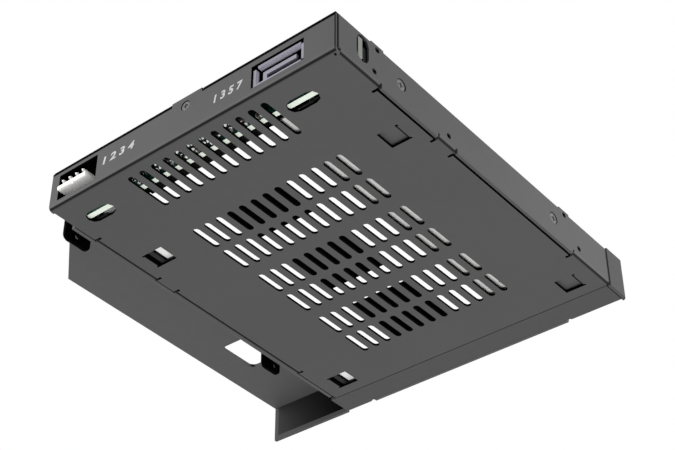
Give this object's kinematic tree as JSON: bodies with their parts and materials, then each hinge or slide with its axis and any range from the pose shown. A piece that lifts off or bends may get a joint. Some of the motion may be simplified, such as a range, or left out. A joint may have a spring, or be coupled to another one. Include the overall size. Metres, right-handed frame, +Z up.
{
  "type": "hot swap drive cage",
  "caption": "Flat folded steel cage for a slim optical bay, with a sliding tray for one small drive, a swing-out lever and a board with data and power headers.",
  "frame": {"origin": "middle of the box round the whole part, on the plane of its underside", "axes": "+Z up from the slotted floor, +Y from the front bezel to the rear sockets, +X towards the power header and the side wing"},
  "size_m": [0.128, 0.1292, 0.0127],
  "materials": {
    "black_coat": "fine textured matte powder coat on sheet steel",
    "black_acetal": "moulded acetal, low sheen",
    "bare_steel": "bare cold rolled steel",
    "black_moulding": "finely textured moulding",
    "lever_coat": "matte coat",
    "button_plastic": "satin moulding",
    "board_green": "dark green solder mask over glass laminate",
    "socket_black": "glass filled moulding",
    "gold": "thin gold plate",
    "header_lilac": "greyish lilac moulding",
    "header_white": "off white moulding",
    "tinned_pins": "bright tin plate",
    "chip_black": "moulded epoxy",
    "capacitor_tan": "ceramic with tinned ends",
    "clear_acrylic": "polished clear rod",
    "led_body": "pale resin",
    "black_screws": "black zinc"
  },
  "bodies": {
    "cage": {"lower_case": "black_coat", "top_cover": "black_coat", "side_wing": "black_coat", "front_bezel": "black_coat", "guide_rail_left": "black_acetal", "guide_rail_right": "black_acetal", "rail_springs": "bare_steel", "backplane_board": "board_green", "drive_receptacle": "socket_black", "receptacle_contacts": "gold", "data_header": "header_lilac", "data_contacts": "gold", "power_header": "header_white", "power_pins": "tinned_pins", "board_chips": "chip_black", "board_capacitors": "capacitor_tan", "light_pipes": "clear_acrylic", "status_leds": "led_body", "wall_screws": "black_screws", "wing_screws": "black_screws", "bezel_screws": "black_screws", "rear_screw": "black_screws"},
    "tray": {"tray_frame": "bare_steel", "tray_face": "black_moulding", "lever_pin": "bare_steel", "lever_spring": "bare_steel", "button_spring": "bare_steel", "tray_screws": "bare_steel"},
    "lever": {"tray_lever": "lever_coat"},
    "button": {"release_button": "button_plastic"}
  },
  "joints": [
    {"name": "tray_slide", "type": "slide", "parent": "cage", "child": "tray", "axis": [0, -1, 0], "range_m": [0, 0.1]},
    {"name": "lever_hinge", "type": "hinge", "parent": "tray", "child": "lever", "pos_m": [-0.0415, -0.0627, 0.00647], "axis": [0, 0, -1], "range_deg": [0, 75]},
    {"name": "button_press", "type": "slide", "parent": "tray", "child": "button", "axis": [0, 1, 0], "range_m": [0, 0.0012], "stiffness_N_per_m": 300, "deforming": ["button_spring"]}
  ]
}
